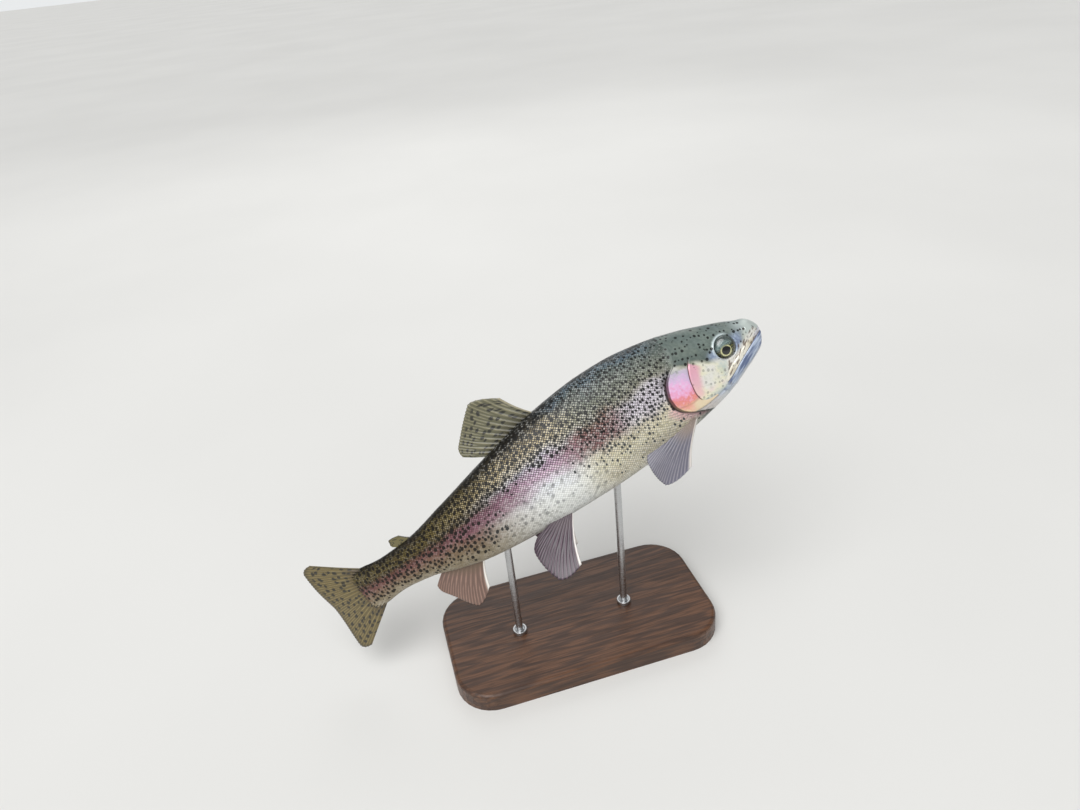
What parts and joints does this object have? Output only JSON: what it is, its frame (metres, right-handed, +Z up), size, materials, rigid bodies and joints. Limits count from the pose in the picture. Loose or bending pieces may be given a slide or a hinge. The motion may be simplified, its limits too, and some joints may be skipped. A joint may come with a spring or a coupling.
{
  "type": "rainbow trout display model",
  "caption": "Life-size rainbow trout, nose up and turning left with its right flank raised, held over a flat wooden base by two short rods.",
  "frame": {"origin": "centre of the whole part's outline seen from above, at the underside of the base", "axes": "+Z up, +X towards the fish's head, +Y to the fish's left"},
  "size_m": [0.3624, 0.1156, 0.2442],
  "materials": {
    "scaled_flank": "wet, silvery scales with dark spots and a mauve-pink stripe along the side",
    "head_skin": "wet, smooth grey-green skin with dark spots, pale on the cheek",
    "gill_cover": "wet pink with a silvery sheen",
    "jaw": "wet pale skin, bluish under the jaw",
    "eye": "glossy dark iris with a thin gold ring round a black pupil",
    "spotted_fin": "thin olive fin skin over rays, with dark spots",
    "plain_fin": "thin dusky fin skin over rays, with pale tips",
    "base_wood": "satin dark walnut",
    "rod_steel": "brushed"
  },
  "bodies": {
    "root": {"adipose_fin": "spotted_fin", "anal_fin": "plain_fin", "caudal_fin": "spotted_fin", "dorsal_fin": "spotted_fin", "eye_left": "eye", "eye_right": "eye", "gill_cover_left": "gill_cover", "gill_cover_right": "gill_cover", "head": "head_skin", "lower_jaw": "jaw", "maxilla_left": "jaw", "maxilla_right": "jaw", "pectoral_fin_left": "plain_fin", "pectoral_fin_right": "plain_fin", "pelvic_fin_left": "plain_fin", "pelvic_fin_right": "plain_fin", "stand_base": "base_wood", "stand_rod_front": "rod_steel", "stand_rod_rear": "rod_steel", "tail_stalk": "scaled_flank", "throat": "jaw", "trunk_front": "scaled_flank", "trunk_rear": "scaled_flank"}
  },
  "joints": []
}
